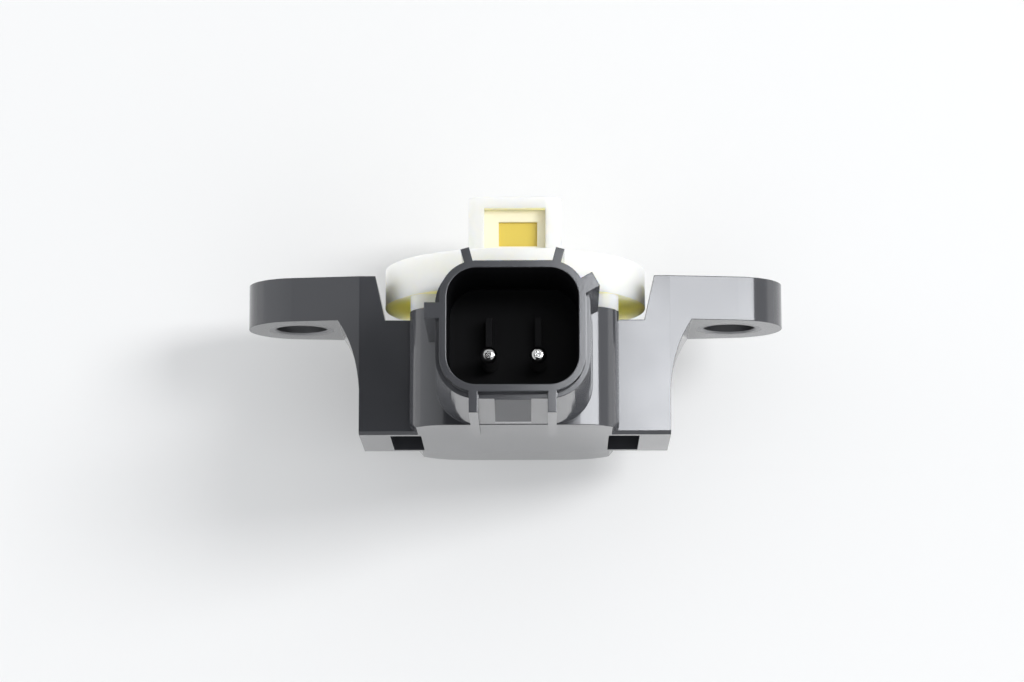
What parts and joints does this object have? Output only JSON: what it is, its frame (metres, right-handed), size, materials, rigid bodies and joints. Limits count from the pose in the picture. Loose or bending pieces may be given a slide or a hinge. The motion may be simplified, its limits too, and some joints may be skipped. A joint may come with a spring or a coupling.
{
  "type": "crash sensor",
  "caption": "Pressure-type crash sensor: black moulded housing with two bolt ears and a pin socket, closed by a pale round port cover with a windowed tower.",
  "frame": {"origin": "midway between the two bolt holes, on the top faces of the ears", "axes": "+X along the ears from hole to hole, -Y out of the mouth of the socket, +Z along the bolts towards the tower of the port cover"},
  "size_m": [0.0648, 0.0468, 0.0305],
  "materials": {
    "housing_plastic": "moulded glass-filled plastic, semi-gloss",
    "cover_plastic": "natural uncoloured plastic, slightly translucent",
    "seal_rubber": "silicone rubber",
    "filter_amber": "amber translucent frame",
    "limiter_steel": "zinc-plated steel",
    "terminal_tin": "tin-plated copper alloy",
    "sealant": "cured potting compound",
    "solder": "satin solder",
    "board": "solder mask on glass fibre board",
    "chip_case": "moulded epoxy",
    "silicon": "polished silicon",
    "gel": "clear silicone gel",
    "ferrite": "sintered ferrite",
    "capacitor_amber": "moulded tantalum capacitor case",
    "capacitor_ceramic": "fired ceramic",
    "adhesive": "cured adhesive"
  },
  "bodies": {
    "root": {"housing": "housing_plastic", "port_cover": "cover_plastic", "cover_seal": "seal_rubber", "inlet_filter": "filter_amber", "duct_seal": "seal_rubber", "limiter_left": "limiter_steel", "limiter_right": "limiter_steel", "terminal_left": "terminal_tin", "terminal_right": "terminal_tin", "terminal_sealant": "sealant", "terminal_solder": "solder", "circuit_board": "board", "sensor_case": "chip_case", "sensor_die": "silicon", "sensor_gel": "gel", "interface_chip": "chip_case", "protection_diode": "chip_case", "ferrite_bead": "ferrite", "buffer_capacitor": "capacitor_amber", "bypass_capacitors": "capacitor_ceramic", "chip_resistors": "chip_case", "board_adhesive": "adhesive"}
  },
  "joints": []
}
